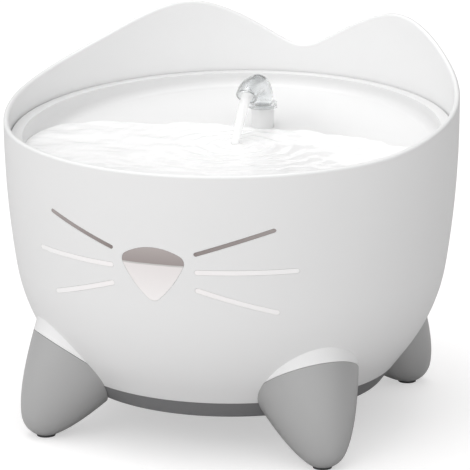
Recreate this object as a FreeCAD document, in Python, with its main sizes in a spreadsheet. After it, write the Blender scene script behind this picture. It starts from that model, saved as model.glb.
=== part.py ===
import FreeCAD, Part
import math
import os
import re

import Sketcher

os.makedirs("parts", exist_ok=True)

# A round drinking fountain for pets: a bowl-shaped body with ears, a face of
# windows and four legs, a water tank inside, a lift-out drinking tray with a
# spout, a small submersible pump and a filter cartridge.
# Millimetres, +Z up, the face looks along -Y, the origin is on the ground
# under the middle of the body.

doc = FreeCAD.newDocument("pet_water_fountain")

SIZES = (
    ("body_radius", 112.0, "outer radius of the body at the rim"),
    ("side_top", 150.0, "height where the side stands upright"),
    ("side_arc", 480.0, "radius of the upper side"),
    ("side_turn", 8.5, "lean of the side where the two arcs meet, degrees"),
    ("bowl_radius", 90.0, "radius of the lower side"),
    ("bowl_turn", 36.5, "lean of the straight lower side, degrees"),
    ("wall", 2.7, "wall of the outer shell and the base"),
    ("seam_height", 29.0, "height where shell and base meet"),
    ("base_bottom", 20.0, "underside of the base"),
    ("base_floor", 2.5, "floor of the base"),
    ("base_edge", 2.0, "rounding of the base's lower edge"),
    ("seam_gap", 0.2, "gap in the seam between shell and base"),
    ("rim_height", 151.9, "height of the rim over the middle"),
    ("rim_tilt", 2.25, "rise of the rim towards the back, degrees"),
    ("rim_round", 1.2, "rounding of the rim"),
    ("window_fit", 0.1, "gap all round a window"),
    ("nose_half_width", 16.4, "half width of the nose window at its upper corners"),
    ("nose_shoulder", 106.4, "height of the upper corners of the nose window"),
    ("nose_top", 112.0, "top of the nose window"),
    ("nose_bottom", 84.2, "lower point of the nose window"),
    ("nose_bulge", 1.9, "how far the lower sides of the nose window swell"),
    ("nose_round", 4.0, "rounding of the nose window's corners"),
    ("whisker_start", 20.0, "distance of the whiskers' inner ends from the middle"),
    ("brow_reach", 56.0, "distance of the upper whiskers' outer ends"),
    ("brow_start", 109.5, "height of the upper whiskers' inner ends"),
    ("brow_end", 121.7, "height of the upper whiskers' outer ends"),
    ("brow_width", 2.0, "width of the upper whiskers"),
    ("cheek_reach", 65.0, "distance of the middle whiskers' outer ends"),
    ("cheek_height", 101.0, "height of the middle whiskers"),
    ("chin_reach", 56.3, "distance of the lower whiskers' outer ends"),
    ("chin_start", 92.4, "height of the lower whiskers' inner ends"),
    ("chin_end", 80.4, "height of the lower whiskers' outer ends"),
    ("whisker_width", 2.6, "width of the middle and lower whiskers"),
    ("leg_inset", 11.2, "distance of the ball of each foot inside the body's radius"),
    ("leg_reach", "=body_radius - leg_inset", "distance of the ball of each foot from the middle"),
    ("leg_tilt", 35.5, "lean of the legs, degrees"),
    ("foot_ball", 12.0, "radius of the ball of each foot"),
    ("leg_spread", 15.5, "how fast a leg widens, square of the radius per length"),
    ("leg_length", 31.5, "length of a leg from the ball's middle to its top"),
    ("leg_gap", 0.2, "gap between a leg and what it joins"),
    ("boss_length", 62.0, "end of the boss above a leg, from the ball's middle"),
    ("pad_radius", 4.6, "radius of a foot pad"),
    ("pad_height", 1.2, "thickness of a foot pad"),
    ("pad_peg_radius", 1.5, "radius of a foot pad's peg"),
    ("pad_peg_length", 3.0, "length of a foot pad's peg"),
    ("fit", 0.1, "clearance of pegs, pins and covers in their seats"),
    ("leg_screw_height", 26.4, "height of the leg screws"),
    ("leg_screw_inset", 26.0, "distance of the leg screws' heads inside the feet"),
    ("leg_screw_seat", "=leg_reach - leg_screw_inset", "distance of the leg screws' heads from the middle"),
    ("leg_screw_length", 17.0, "length of a leg screw under its head"),
    ("screw_radius", 1.5, "radius of a screw's shank"),
    ("screw_head_radius", 2.8, "radius of a screw's head"),
    ("screw_head_height", 2.0, "height of a screw's head"),
    ("pillar_radius", 4.6, "radius of the pillars that take the screws"),
    ("tank_gap", 0.4, "gap between shell and tank"),
    ("tank_wall", 2.0, "wall of the water tank"),
    ("tank_bottom", 31.0, "underside of the water tank"),
    ("tank_floor", 2.2, "floor of the water tank"),
    ("tank_corner", 6.0, "rounding inside the tank's floor"),
    ("base_screw_ring", 52.0, "distance of the base screws from the middle"),
    ("base_screw_length", 8.5, "length of a base screw under its head"),
    ("rib_ring", 64.0, "radius of the rib that carries the tank"),
    ("rib_width", 2.0, "width of the rib that carries the tank"),
    ("tray_gap", 0.6, "gap between the shell and the tray's lip"),
    ("tray_radius", "=body_radius - wall - tray_gap", "outer radius of the tray's lip"),
    ("tray_drop", 7.6, "depth of the tray's lip below the rim"),
    ("tray_height", "=rim_height - tray_drop", "height of the tray's lip over the middle"),
    ("tray_tilt", 3.53, "rise of the tray towards the back, degrees"),
    ("lip_thickness", 2.0, "thickness of the tray's lip"),
    ("lip_width", 3.0, "width of the tray's lip"),
    ("tray_wall", 2.0, "wall of the tray"),
    ("tray_seat_gap", 0.2, "gap between the tray's lip and the tank"),
    ("tray_step", 3.7, "step from the tray's lip in to its side"),
    ("tray_side", "=tray_radius - tray_step", "outer radius of the tray's side at its lip"),
    ("tray_draft", 2.0, "lean of the tray's side, degrees"),
    ("dish_radius", 1600.0, "radius of the hollow of the tray's floor"),
    ("dish_front", 182.0, "distance of the hollow's lowest point in front of the axis"),
    ("dish_depth", 25.4, "depth of the hollow's lowest point below the tray's lip"),
    ("dish_height", "=tray_height - dish_depth", "height of the hollow's lowest point"),
    ("dish_round", 5.0, "rounding between the tray's floor and its side"),
    ("spout_back", 47.0, "distance of the spout behind the axis"),
    ("stem_radius", 5.8, "outer radius of the spout stem"),
    ("stem_bore", 4.4, "inner radius of the spout stem"),
    ("stem_rise", 2.0, "height of the stem's top above the tray's lip"),
    ("stem_top", "=tray_height + stem_rise", "top of the spout stem"),
    ("stem_flange", 9.0, "radius of the flange under the tray"),
    ("stem_flange_height", 2.0, "thickness of the flange under the tray"),
    ("stem_boss", 4.2, "depth of the flat boss under the tray at the spout"),
    ("seal_section", 0.7, "radius of the section of the stem's seal"),
    ("seal_fit", 0.03, "clearance of the stem's seal on each side"),
    ("socket_length", 16.0, "length of the socket below the tray"),
    ("socket_wall", 1.6, "wall of the socket below the tray"),
    ("hood_radius", 5.4, "outer radius of the spout hood"),
    ("hood_wall", 1.0, "wall of the spout hood"),
    ("hood_lap", 1.0, "overlap of the spout hood over the stem"),
    ("hood_start", "=stem_top - hood_lap", "lower edge of the spout hood"),
    ("hood_foot_radius", 7.4, "radius of the hood's foot"),
    ("hood_foot_height", 2.6, "height of the hood's foot"),
    ("hood_gap", 0.3, "gap between the hood's foot and the stem"),
    ("hood_rise", 3.2, "height of the hood's bend above its lower edge"),
    ("hood_bend", 10.0, "radius of the bend of the spout hood"),
    ("hood_arm", 7.0, "straight part of the hood's arm"),
    ("hood_drop_bend", 12.0, "radius of the bend at the hood's mouth"),
    ("hood_drop", 40.0, "dip of the hood's mouth, degrees"),
    ("pump_width", 44.0, "width of the pump"),
    ("pump_depth", 36.0, "depth of the pump"),
    ("pump_height", 30.0, "height of the pump"),
    ("pump_back", 35.0, "distance of the pump's middle behind the axis"),
    ("pump_round", 5.0, "rounding of the pump's upright corners"),
    ("cup_radius", 6.0, "radius of a suction cup"),
    ("cup_height", 4.0, "height of a suction cup"),
    ("cup_across", 28.0, "distance between the suction cups across"),
    ("cup_along", 20.0, "distance between the suction cups from front to back"),
    ("outlet_radius", 5.0, "outer radius of the pump's outlet tube"),
    ("outlet_wall", 1.2, "wall of the pump's outlet tube"),
    ("outlet_rise", 5.7, "height of the outlet's top above the hollow's lowest point"),
    ("outlet_top", "=dish_height + outlet_rise", "top of the pump's outlet tube"),
    ("outlet_socket", 6.0, "depth of the outlet tube in the pump"),
    ("chamber_radius", 12.5, "radius of the impeller chamber"),
    ("chamber_depth", 9.0, "depth of the impeller chamber"),
    ("well_radius", 6.6, "radius of the rotor well"),
    ("well_depth", 18.0, "depth of the rotor well behind the chamber"),
    ("impeller_height", 16.0, "height of the impeller's axis above the pump's underside"),
    ("impeller_radius", 10.5, "radius of the impeller"),
    ("impeller_width", 6.0, "width of the impeller's blades"),
    ("impeller_disc", 1.5, "thickness of the impeller's disc"),
    ("blade_thickness", 1.4, "thickness of an impeller blade"),
    ("blade_count", 6, "number of impeller blades"),
    ("impeller_gap", 1.0, "gap between the pump's cover and the impeller"),
    ("magnet_radius", 5.8, "radius of the rotor magnet"),
    ("magnet_length", 14.0, "length of the rotor magnet"),
    ("shaft_radius", 1.0, "radius of the impeller's shaft"),
    ("shaft_fit", 0.04, "running clearance of the shaft"),
    ("bush_radius", 3.0, "radius of a shaft bush"),
    ("bush_length", 3.0, "length of a shaft bush"),
    ("cover_thickness", 4.0, "thickness of the pump's cover"),
    ("cover_slot", 2.4, "width of a slot in the pump's cover"),
    ("cover_slot_length", 20.0, "length of a slot in the pump's cover"),
    ("cover_pitch", 4.6, "distance between the slots of the pump's cover"),
    ("cover_slot_count", 5, "number of slots in the pump's cover"),
    ("gland_radius", 5.0, "radius of the pump's cable gland"),
    ("gland_bore", 2.2, "radius of the cable hole"),
    ("gland_length", 9.0, "length of the pump's cable gland"),
    ("gland_wall", 1.0, "wall of the gland's neck and the step below it"),
    ("gland_side", 14.0, "distance of the cable gland from the middle"),
    ("cable_hole_radius", 6.0, "radius of the cable hole in shell and tank"),
    ("cable_hole_height", 139.5, "height of the cable hole"),
    ("grommet_flange", 8.0, "radius of the grommet's flange"),
    ("grommet_flange_height", 1.6, "thickness of the grommet's flange"),
    ("filter_radius", 36.0, "outer radius of the filter cartridge"),
    ("filter_front", 24.0, "distance of the cartridge's middle in front of the axis"),
    ("filter_height", 24.0, "height of the filter cartridge"),
    ("filter_wall", 2.0, "wall of the filter cartridge"),
    ("filter_lid", 3.0, "thickness of the cartridge's lid"),
    ("filter_feet", 2.0, "height of the filter cartridge above the tank floor"),
    ("filter_foot_radius", 2.0, "radius of a foot of the filter cartridge"),
    ("filter_foot_ring", 32.0, "distance of the cartridge's feet from its middle"),
    ("foam_height", 8.0, "thickness of the filter foam"),
    ("carbon_height", 9.0, "thickness of the carbon bed"),
    ("media_fit", 0.3, "gap round the filter media"),
    ("lid_slots", 12, "number of slots in the cartridge's lid"),
    ("lid_slot_width", 3.0, "width of a slot in the cartridge's lid"),
    ("lid_slot_inner", 8.0, "inner end of the lid's slots"),
    ("lid_slot_outer", 29.0, "outer end of the lid's slots"),
    ("lid_knob_radius", 5.0, "radius of the cartridge's knob"),
    ("lid_knob_height", 7.0, "height of the cartridge's knob"),
    ("lid_knob_bevel", 1.2, "bevel round the knob's top"),
    ("lid_register", 1.0, "depth of the lid's step inside the cartridge"),
)

# Angle from the front in degrees and rise above the tilted rim plane.
EAR_OUTLINE = (
    (25, 0.0), (45, 0.0), (62, 0.5), (80, 3.9), (95, 7.1), (110, 12.1), (125, 19.8),
    (140, 29.7), (150, 32.3), (160, 27.0), (170, 17.2), (180, 9.5),
)

LEGS = {
    "front_left": -45.0,
    "front_right": 45.0,
    "rear_right": 135.0,
    "rear_left": -135.0,
}

sheet = doc.addObject("Spreadsheet::Sheet", "sizes")
for row, (alias, value, meaning) in enumerate(SIZES, start=1):
    sheet.set(f"A{row}", alias)
    sheet.set(f"B{row}", str(value))
    sheet.set(f"C{row}", meaning)
    sheet.setAlias(f"B{row}", alias)
doc.recompute()

nodes = []
CELLS = {alias: f"sizes.{alias}" for alias, _, _ in SIZES}

# Heights and places that several pieces share.
TANK_FLOOR = "(tank_bottom + tank_floor)"
PUMP_FLOOR = f"({TANK_FLOOR} + cup_height)"
PUMP_TOP = f"({PUMP_FLOOR} + pump_height)"
PUMP_AXIS = f"({PUMP_FLOOR} + impeller_height)"
CHAMBER_FRONT = "(pump_back - pump_depth / 2 + cover_thickness)"
FRONT_BUSH = f"({CHAMBER_FRONT} - fit - bush_length)"
REAR_BUSH = f"({CHAMBER_FRONT} + chamber_depth + well_depth - bush_length - fit)"
SHAFT_BORE = "(shaft_radius + shaft_fit)"
CARTRIDGE_FOOT = f"({TANK_FLOOR} + filter_feet)"
MEDIA_RADIUS = "(filter_radius - filter_wall - media_fit)"


def size(alias):
    """The value of one cell of the sheet."""
    return float(sheet.get(alias))


def vector(x, y, z):
    return FreeCAD.Vector(x, y, z)


UP = vector(0, 0, 1)
AXIS_FOOT = vector(0, 0, 0)


def node(label, shape, placement=None):
    """Adds a finished sub-part to the document."""
    part = doc.addObject("Part::Feature", label)
    part.Label = label
    part.Shape = shape
    if placement is not None:
        part.Placement = placement
    nodes.append(part)
    return part


def formula(text):
    """A formula on the sheet's cells, written with the cells' plain names."""
    return re.sub(r"[a-z_]{3,}", lambda word: CELLS.get(word.group(), word.group()), text)


def value(text):
    return float(sheet.evalExpression(formula(text)))


def bind(part, **places):
    """Ties properties of an object to formulas on the sheet."""
    for name, text in places.items():
        part.setExpression(name.replace("__", "."), formula(text))


def origin_plane(body, role):
    return next(item for item in body.Origin.OriginFeatures if item.Role == role)


def new_body(label):
    body = doc.addObject("PartDesign::Body", label)
    body.Label = label
    nodes.append(body)
    return body


def new_sketch(body, name, role):
    sketch = body.newObject("Sketcher::SketchObject", f"{body.Name}_{name}")
    sketch.AttachmentSupport = [(origin_plane(body, role), "")]
    sketch.MapMode = "FlatFace"
    return sketch


def bind_corner(sketch, line, kind, axis, text):
    """Ties one coordinate of a line's start to the sheet, or to an axis."""
    if text == "0":
        sketch.addConstraint(Sketcher.Constraint("PointOnObject", line, 1, axis))
        return
    place = sketch.addConstraint(Sketcher.Constraint(kind, -1, 1, line, 1, value(text)))
    sketch.setExpression(f"Constraints[{place}]", formula(text))


def draw_outline(sketch, corners):
    """A closed outline of straight lines with its corners tied to the sheet."""
    places = [vector(value(across), value(up), 0) for across, up in corners]
    count = len(places)
    for line in range(count):
        sketch.addGeometry(Part.LineSegment(places[line], places[(line + 1) % count]), False)
    for line in range(count):
        following = (line + 1) % count
        sketch.addConstraint(Sketcher.Constraint("Coincident", line, 2, following, 1))
    for line, (across, up) in enumerate(corners):
        bind_corner(sketch, line, "DistanceX", -2, across)
        bind_corner(sketch, line, "DistanceY", -1, up)


def draw_circle(sketch, across, up, radius):
    """A circle with its middle and radius tied to the sheet."""
    middle = vector(value(across), value(up), 0)
    sketch.addGeometry(Part.Circle(middle, vector(0, 0, 1), value(radius)), False)
    for kind, axis, text in (("DistanceX", -2, across), ("DistanceY", -1, up)):
        if text == "0":
            sketch.addConstraint(Sketcher.Constraint("PointOnObject", 0, 3, axis))
            continue
        place = sketch.addConstraint(Sketcher.Constraint(kind, -1, 1, 0, 3, value(text)))
        sketch.setExpression(f"Constraints[{place}]", formula(text))
    place = sketch.addConstraint(Sketcher.Constraint("Radius", 0, value(radius)))
    sketch.setExpression(f"Constraints[{place}]", formula(radius))


def turned_body(label, corners):
    """A body turned about its own Z axis from the corners of its half section."""
    body = new_body(label)
    sketch = new_sketch(body, "section", "XZ_Plane")
    draw_outline(sketch, corners)
    turn = body.newObject("PartDesign::Revolution", f"{label}_turn")
    turn.Profile = sketch
    turn.ReferenceAxis = (sketch, ["V_Axis"])
    turn.Angle = 360
    sketch.Visibility = False
    body.Tip = turn
    doc.recompute()
    return body


def ring_section(inner, outer, length):
    return ((inner, "0"), (outer, "0"), (outer, length), (inner, length))


def around(body, feature, sketch, count):
    """Repeats a feature evenly about the body's Z axis."""
    pattern = body.newObject("PartDesign::PolarPattern", f"{feature.Name}_ring")
    pattern.Originals = [feature]
    pattern.Axis = (sketch, ["N_Axis"])
    pattern.Angle = 360
    pattern.setExpression("Occurrences", formula(count))
    body.Tip = pattern
    doc.recompute()
    return pattern


def lay_along_y(body, start, height):
    """Lays a body's Z axis along +Y, at a start and a height."""
    body.Placement = FreeCAD.Placement(vector(0, 0, 0), FreeCAD.Rotation(vector(1, 0, 0), -90))
    bind(body, Placement__Base__y=start, Placement__Base__z=height)


def rod(radius, length, foot, direction=UP):
    return Part.makeCylinder(radius, length, foot, direction)


def pipe(outer, inner, length, foot, direction=UP):
    return rod(outer, length, foot, direction).cut(rod(inner, length, foot, direction))


def turned(edges, axis=UP):
    """A solid turned about the Z axis from the edges of its half section."""
    face = Part.Face(Part.Wire(Part.__sortEdges__(edges)))
    solid = face.revolve(AXIS_FOOT, axis, 360)
    if solid.Volume < 0:
        solid.reverse()
    return solid


def segment(x_start, z_start, x_end, z_end):
    return Part.makeLine(vector(x_start, 0, z_start), vector(x_end, 0, z_end))


def body_solid(inset, bottom, top):
    """The body's full round form, moved in by an inset, between two heights."""
    first = math.radians(size("side_turn"))
    second = math.radians(size("bowl_turn"))
    side_top = size("side_top")
    upper = vector(size("body_radius") - size("side_arc"), 0, side_top)
    step = size("side_arc") - size("bowl_radius")
    lower = upper + vector(step * math.cos(first), 0, -step * math.sin(first))

    def on_arc(centre, radius, angle):
        reach = radius - inset
        return centre + vector(reach * math.cos(angle), 0, -reach * math.sin(angle))

    shoulder = on_arc(upper, size("side_arc"), 0)
    middle = on_arc(upper, size("side_arc"), first)
    waist = on_arc(lower, size("bowl_radius"), second)
    drop = (waist.z - bottom) / math.cos(second)
    foot = waist + vector(-drop * math.sin(second), 0, -drop * math.cos(second))
    ceiling = max(top, side_top + size("wall"))
    upper_half = on_arc(upper, size("side_arc"), first / 2)
    lower_half = on_arc(lower, size("bowl_radius"), (first + second) / 2)
    edges = [
        Part.makeLine(foot, waist),
        Part.Arc(waist, lower_half, middle).toShape(),
        Part.Arc(middle, upper_half, shoulder).toShape(),
        segment(shoulder.x, shoulder.z, shoulder.x, ceiling),
        segment(shoulder.x, ceiling, 0, ceiling),
        segment(0, ceiling, 0, bottom),
        segment(0, bottom, foot.x, bottom),
    ]
    form = turned(edges)
    if ceiling > top:
        form = form.common(rod(2 * size("body_radius"), top - bottom, vector(0, 0, bottom)))
    return form



def rim_curve(radius):
    """The closed curve of the rim and ears on an upright cylinder."""
    tilt = math.tan(math.radians(size("rim_tilt")))
    outline = list(EAR_OUTLINE)
    back = outline[-1:]
    right = outline[:-1]
    left = [(-angle, rise) for angle, rise in reversed(right)]
    points = []
    for angle, rise in [(0, 0.0)] + right + back + left:
        turn = math.radians(angle)
        base = size("rim_height") - tilt * size("body_radius") * math.cos(turn)
        points.append(vector(radius * math.sin(turn), -radius * math.cos(turn), base + rise))
    curve = Part.BSplineCurve()
    curve.interpolate(Points=points, PeriodicFlag=True)
    return curve.toShape()


def above_rim():
    """Everything above the rim and ears, as a solid ring."""
    inner = rim_curve(size("body_radius") - 6 * size("wall"))
    outer = rim_curve(size("body_radius") + 3 * size("wall"))
    return Part.makeRuledSurface(inner, outer).extrude(vector(0, 0, 3 * size("body_radius")))


def leg_form(start, end, grow=0.0):
    """A leg turned about its own axis, from one length to another, at the front."""
    ball = size("foot_ball") + grow
    spread = size("leg_spread")
    touch = -spread / 2
    square = ball * ball + spread * spread / 4
    edges = []
    if start < touch:
        half = (touch - ball) / 2
        tip = vector(0, 0, -ball)
        between = vector(math.sqrt(ball * ball - half * half), 0, half)
        side = vector(math.sqrt(ball * ball - touch * touch), 0, touch)
        edges.append(Part.Arc(tip, between, side).toShape())
        first = touch
        floor = -ball
    else:
        first = start
        floor = start
    wide = math.sqrt(square + spread * end)
    narrow = math.sqrt(square + spread * first)
    middle = (narrow + wide) / 2
    flank = Part.BezierCurve()
    flank.setPoles([
        vector(narrow, 0, first),
        vector(middle, 0, first + (middle - narrow) * 2 * narrow / spread),
        vector(wide, 0, end),
    ])
    edges.append(flank.toShape())
    edges.append(segment(wide, end, 0, end))
    edges.append(segment(0, end, 0, floor))
    if start >= touch:
        edges.append(segment(0, floor, narrow, floor))
    form = turned(edges)
    form.rotate(AXIS_FOOT, vector(1, 0, 0), -size("leg_tilt"))
    form.translate(vector(0, -size("leg_reach"), size("foot_ball")))
    return form


def at_angle(shape, angle):
    """A copy of a shape made at the front, turned about the middle."""
    copy = shape.copy()
    copy.rotate(AXIS_FOOT, UP, angle)
    return copy


def nose_prism(grow):
    """The nose outline as a bar along Y: three swelling sides, round corners."""
    half = size("nose_half_width") + grow
    shoulder = size("nose_shoulder")
    top = size("nose_top") + grow
    bottom = size("nose_bottom") - grow
    left = vector(-half, 0, shoulder)
    right = vector(half, 0, shoulder)
    tip = vector(0, 0, bottom)
    middle_right = (right + tip) * 0.5
    outward = vector(shoulder - bottom, 0, -half)
    outward.normalize()
    swell_right = middle_right + outward * (size("nose_bulge") + grow / 2)
    swell_left = vector(-swell_right.x, 0, swell_right.z)
    edges = [
        Part.Arc(left, vector(0, 0, top), right).toShape(),
        Part.Arc(right, swell_right, tip).toShape(),
        Part.Arc(tip, swell_left, left).toShape(),
    ]
    bar = Part.Face(Part.Wire(edges)).extrude(vector(0, -size("body_radius") - size("wall"), 0))
    corners = [edge for edge in bar.Edges if abs(edge.BoundBox.YLength) > size("body_radius") / 2]
    return bar.makeFillet(size("nose_round"), corners)


def whisker_prism(start, end, width, side, grow):
    """A straight whisker outline with round ends as a bar along Y."""
    first = vector(side * start[0], 0, start[1])
    last = vector(side * end[0], 0, end[1])
    run = last - first
    long_way = run.Length
    run.normalize()
    radius = width / 2 + grow
    first = first + run * (width / 2)
    last = last - run * (width / 2)
    across = vector(-run.z, 0, run.x) * radius
    edges = [
        Part.makeLine(first + across, last + across),
        Part.Arc(last + across, last + run * radius, last - across).toShape(),
        Part.makeLine(last - across, first - across),
        Part.Arc(first - across, first - run * radius, first + across).toShape(),
    ]
    if long_way <= width:
        raise ValueError("a whisker is shorter than it is wide")
    return Part.Face(Part.Wire(edges)).extrude(vector(0, -size("body_radius") - size("wall"), 0))


def whisker_list():
    """Name, inner end, outer end and width of the whiskers of one side."""
    start = size("whisker_start")
    return (
        ("upper", (start, size("brow_start")), (size("brow_reach"), size("brow_end")),
         size("brow_width")),
        ("middle", (start, size("cheek_height")), (size("cheek_reach"), size("cheek_height")),
         size("whisker_width")),
        ("lower", (start, size("chin_start")), (size("chin_reach"), size("chin_end")),
         size("whisker_width")),
    )


def window_prisms(grow):
    """All face openings as bars along Y, by node name."""
    prisms = {"nose_window": nose_prism(grow)}
    for side_name, side in (("left", -1), ("right", 1)):
        for row_name, start, end, width in whisker_list():
            name = f"{side_name}_{row_name}_whisker_window"
            prisms[name] = whisker_prism(start, end, width, side, grow)
    return prisms


def outer_shell():
    top = size("rim_height") + size("body_radius")
    wall = size("wall")
    inside = body_solid(wall, size("seam_height") - wall, top + wall)
    hull = body_solid(0, size("seam_height"), top).cut(inside)
    hull = hull.cut(above_rim())
    lip_floor = size("rim_height") - size("body_radius") / 10
    lips = [edge for edge in hull.Edges
            if edge.BoundBox.ZMin > lip_floor and edge.BoundBox.XLength > size("body_radius")]
    hull = hull.makeFillet(size("rim_round"), lips)
    boss = leg_form(size("leg_length"), size("boss_length"))
    inner_core = body_solid(wall / 2, size("seam_height"), top)
    underneath = rod(2 * size("body_radius"), size("seam_height"), AXIS_FOOT)
    boss = boss.cut(inner_core).cut(underneath)
    notch = leg_form(-size("foot_ball"), size("leg_length"), size("leg_gap"))
    for angle in LEGS.values():
        hull = hull.fuse(at_angle(boss, angle))
        hull = hull.cut(at_angle(notch, angle))
    for prism in window_prisms(0).values():
        hull = hull.cut(prism)
    hull = hull.cut(cable_bore(size("cable_hole_radius")))
    return hull.removeSplitter()


def cable_bore(radius):
    """A round bar through the back wall where the cable leaves."""
    foot = vector(0, size("body_radius") * 0.85, size("cable_hole_height"))
    return rod(radius, size("body_radius") * 0.3, foot, vector(0, 1, 0))


def window(prism):
    """The piece of wall that fills one opening of the face."""
    bottom = size("seam_height")
    top = size("rim_height")
    ring = body_solid(0, bottom, top).cut(body_solid(size("wall"), bottom, top))
    return ring.common(prism)


def leg(angle):
    form = leg_form(-size("foot_ball"), size("leg_length") - size("leg_gap"))
    seam = size("seam_height")
    high = size("rim_height")
    form = form.cut(body_solid(size("wall"), seam, high))
    form = form.cut(body_solid(-size("leg_gap"), size("base_bottom") - seam, seam))
    reach = size("leg_reach")
    form = form.cut(rod(2 * reach, size("pad_height"), AXIS_FOOT))
    peg_hole = rod(size("pad_peg_radius") + size("fit"),
                   size("pad_height") + size("pad_peg_length") + size("fit"), vector(0, -reach, 0))
    form = form.cut(peg_hole)
    foot = vector(0, -size("leg_screw_seat"), size("leg_screw_height"))
    screw_hole = rod(size("screw_radius") + size("fit"), size("leg_screw_length") + size("fit"),
                     foot, vector(0, -1, 0))
    return at_angle(form.cut(screw_hole), angle)



def screw(foot, direction, length):
    """A pan-head screw: the seat of its head is at foot."""
    direction = vector(direction.x, direction.y, direction.z)
    direction.normalize()
    head = rod(size("screw_head_radius"), size("screw_head_height"), foot, direction * -1)
    shank = rod(size("screw_radius"), length, foot, direction)
    return head.fuse(shank).removeSplitter()


def leg_screws():
    """Four screws from inside the base into the legs."""
    foot = vector(0, -size("leg_screw_seat"), size("leg_screw_height"))
    one = screw(foot, vector(0, -1, 0), size("leg_screw_length"))
    return Part.makeCompound([at_angle(one, angle) for angle in LEGS.values()])


def base_screw_feet():
    """Places of the base screws' heads, under the base's floor."""
    ring = size("base_screw_ring")
    height = size("base_bottom") + size("base_floor") - size("screw_head_height")
    return [vector(ring * math.cos(turn), ring * math.sin(turn), height + size("base_floor") / 2)
            for turn in (0, math.pi / 2, math.pi, 3 * math.pi / 2)]


def base_screws():
    """Four screws from under the base into the tank's pillars."""
    return Part.makeCompound(
        [screw(foot, UP, size("base_screw_length")) for foot in base_screw_feet()])


def base_plate():
    bottom = size("base_bottom")
    floor_top = bottom + size("base_floor")
    seam = size("seam_height") - size("seam_gap")
    solid = body_solid(0, bottom, seam)
    edge = [one for one in solid.Edges if abs(one.BoundBox.ZMax - bottom) < 0.01
            and one.BoundBox.XLength > size("base_screw_ring")]
    solid = solid.makeFillet(size("base_edge"), edge)
    base = solid.cut(body_solid(size("wall"), floor_top, seam + 1))
    seat = size("leg_screw_seat")
    pillar = rod(size("pillar_radius"), size("wall") * 3, vector(0, -seat, size("leg_screw_height")),
                 vector(0, -1, 0))
    pillar = pillar.common(solid)
    rib_height = size("tank_bottom") - size("tray_seat_gap") - floor_top
    rib = pipe(size("rib_ring"), size("rib_ring") - size("rib_width"), rib_height,
               vector(0, 0, floor_top))
    base = base.fuse(rib)
    hole = rod(size("screw_radius") + size("fit"), 3 * size("leg_screw_length"),
               vector(0, -seat + size("fit"), size("leg_screw_height")), vector(0, -1, 0))
    for angle in LEGS.values():
        base = base.fuse(at_angle(pillar, angle))
        base = base.cut(at_angle(hole, angle))
    for foot in base_screw_feet():
        collar_top = foot + vector(0, 0, size("base_floor"))
        collar = rod(size("pillar_radius"), collar_top.z - bottom, vector(foot.x, foot.y, bottom))
        base = base.fuse(collar)
        base = base.cut(rod(size("screw_head_radius") + size("fit"), foot.z - bottom,
                            vector(foot.x, foot.y, bottom)))
        base = base.cut(rod(size("screw_radius") + size("fit"), size("base_screw_length"), foot))
    return base.removeSplitter()



def above_plane(height, tilt):
    """Everything above a plane that rises towards the back."""
    reach = 2 * size("body_radius")
    block = Part.makeBox(2 * reach, 2 * reach, reach, vector(-reach, -reach, 0))
    block.rotate(AXIS_FOOT, vector(1, 0, 0), tilt)
    block.translate(vector(0, 0, height))
    return block


def tank_floor_top():
    return size("tank_bottom") + size("tank_floor")


def water_tank():
    """The inner tank, open at the top, cut parallel to the tray's lip."""
    inset = size("wall") + size("tank_gap")
    top = size("rim_height") + size("wall")
    bottom = size("tank_bottom")
    inside = body_solid(inset + size("tank_wall"), tank_floor_top(), top + 1)
    corner = [one for one in inside.Edges if abs(one.BoundBox.ZMax - tank_floor_top()) < 0.01
              and one.BoundBox.XLength > size("base_screw_ring")]
    inside = inside.makeFillet(size("tank_corner"), corner)
    tank = body_solid(inset, bottom, top).cut(inside)
    drop = size("lip_thickness") + size("tray_seat_gap")
    tank = tank.cut(above_plane(size("tray_height") - drop, size("tray_tilt")))
    for foot in base_screw_feet():
        start = foot.z + size("base_floor") + size("seam_gap")
        post = rod(size("pillar_radius"), bottom - start, vector(foot.x, foot.y, start))
        tank = tank.fuse(post)
        tank = tank.cut(rod(size("screw_radius") + size("fit"),
                            size("base_screw_length") + size("fit"), foot))
    tank = tank.cut(cable_bore(size("cable_hole_radius")))
    return tank.removeSplitter()


def cable_grommet():
    """A rubber ring in the cable hole, with a flange outside."""
    outside = math.sqrt(size("body_radius") ** 2 - size("grommet_flange") ** 2)
    inner_end = size("body_radius") - size("wall") - size("tank_gap") - size("tank_wall")
    height = size("cable_hole_height")
    length = size("body_radius") - inner_end
    foot = vector(0, inner_end, height)
    back = vector(0, 1, 0)
    sleeve = rod(size("cable_hole_radius") - size("fit"), length, foot, back)
    flange_length = size("body_radius") - outside + size("grommet_flange_height")
    flange = rod(size("grommet_flange"), flange_length, vector(0, outside, height), back)
    skin = body_solid(-size("fit"), size("seam_height"), size("rim_height") + size("wall"))
    flange = flange.cut(skin)
    grommet = sleeve.fuse(flange)
    grommet = grommet.cut(rod(size("gland_bore"), 3 * length, foot - back * length, back))
    return grommet.removeSplitter()






def foot_pad(label, angle):
    """A rubber pad under a foot, with the peg that holds it."""
    body = turned_body(label, (
        ("0", "0"),
        ("pad_radius", "0"),
        ("pad_radius", "pad_height"),
        ("pad_peg_radius", "pad_height"),
        ("pad_peg_radius", "pad_height + pad_peg_length"),
        ("0", "pad_height + pad_peg_length"),
    ))
    bind(body, Placement__Base__x=f"leg_reach * sin({angle})",
         Placement__Base__y=f"-leg_reach * cos({angle})")


def tilted_disc(radius, height, tilt, thickness):
    """A disc whose top is a plane that rises towards the back."""
    disc = rod(radius, thickness, vector(0, 0, -thickness))
    disc.rotate(AXIS_FOOT, vector(1, 0, 0), tilt)
    disc.translate(vector(0, 0, height))
    return disc


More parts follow.
